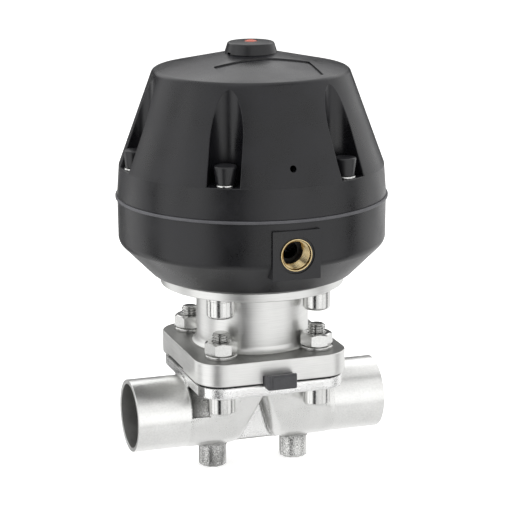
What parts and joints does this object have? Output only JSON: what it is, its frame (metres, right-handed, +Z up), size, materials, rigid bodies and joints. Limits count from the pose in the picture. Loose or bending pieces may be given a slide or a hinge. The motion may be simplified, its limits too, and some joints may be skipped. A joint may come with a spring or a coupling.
{
  "type": "diaphragm valve",
  "caption": "Two-way weir diaphragm valve with butt weld ends, a bolted distance piece and a spring-closed membrane actuator with a lifting position indicator.",
  "frame": {"origin": "midway between the two mounting holes, on the mounting face under the bosses", "axes": "+X along the flow axis, +Z up along the spindle, the air port faces -Y"},
  "size_m": [0.125, 0.125, 0.1993],
  "materials": {
    "cast_stainless": "bead-blasted casting with turned weld ends",
    "machined_stainless": "fine turned and brushed",
    "fastener_steel": "bright stainless fasteners",
    "housing_plastic": "satin moulded, glass-filled",
    "cap_plastic": "satin moulded",
    "black_rubber": "matte",
    "membrane_rubber": "matte, cloth reinforced",
    "brass": "turned",
    "bronze": "turned",
    "spring_steel": "oiled",
    "plate_aluminium": "turned",
    "indicator_red": "gloss moulded"
  },
  "bodies": {
    "valve": {"valve_body": "cast_stainless", "sealing_diaphragm": "black_rubber", "distance_piece": "machined_stainless", "body_screws": "fastener_steel", "body_screw_washers": "fastener_steel", "nut_washers": "fastener_steel", "body_nuts": "fastener_steel", "lower_housing": "housing_plastic", "air_port_insert": "brass", "base_screws": "fastener_steel", "base_washers": "fastener_steel", "base_inserts": "brass", "guide_bush": "bronze", "spindle_seals": "black_rubber", "actuator_diaphragm": "membrane_rubber", "upper_housing": "housing_plastic", "housing_screws": "fastener_steel", "screw_caps": "cap_plastic", "housing_inserts": "brass", "outer_spring": "spring_steel", "inner_spring": "spring_steel", "indicator_cap": "cap_plastic", "indicator_oring": "black_rubber"},
    "stem": {"spindle": "machined_stainless", "compressor": "machined_stainless", "compressor_pin": "fastener_steel", "diaphragm_stud": "fastener_steel", "lower_plate": "plate_aluminium", "spring_plate": "plate_aluminium", "stem_nut": "fastener_steel", "indicator_pin": "indicator_red"}
  },
  "joints": [
    {"name": "stem_lift", "type": "slide", "parent": "valve", "child": "stem", "axis": [0, 0, 1], "range_m": [0, 0.01], "stiffness_N_per_m": 4000, "springref_m": -0.02, "deforming": ["sealing_diaphragm", "actuator_diaphragm", "outer_spring", "inner_spring"]}
  ]
}
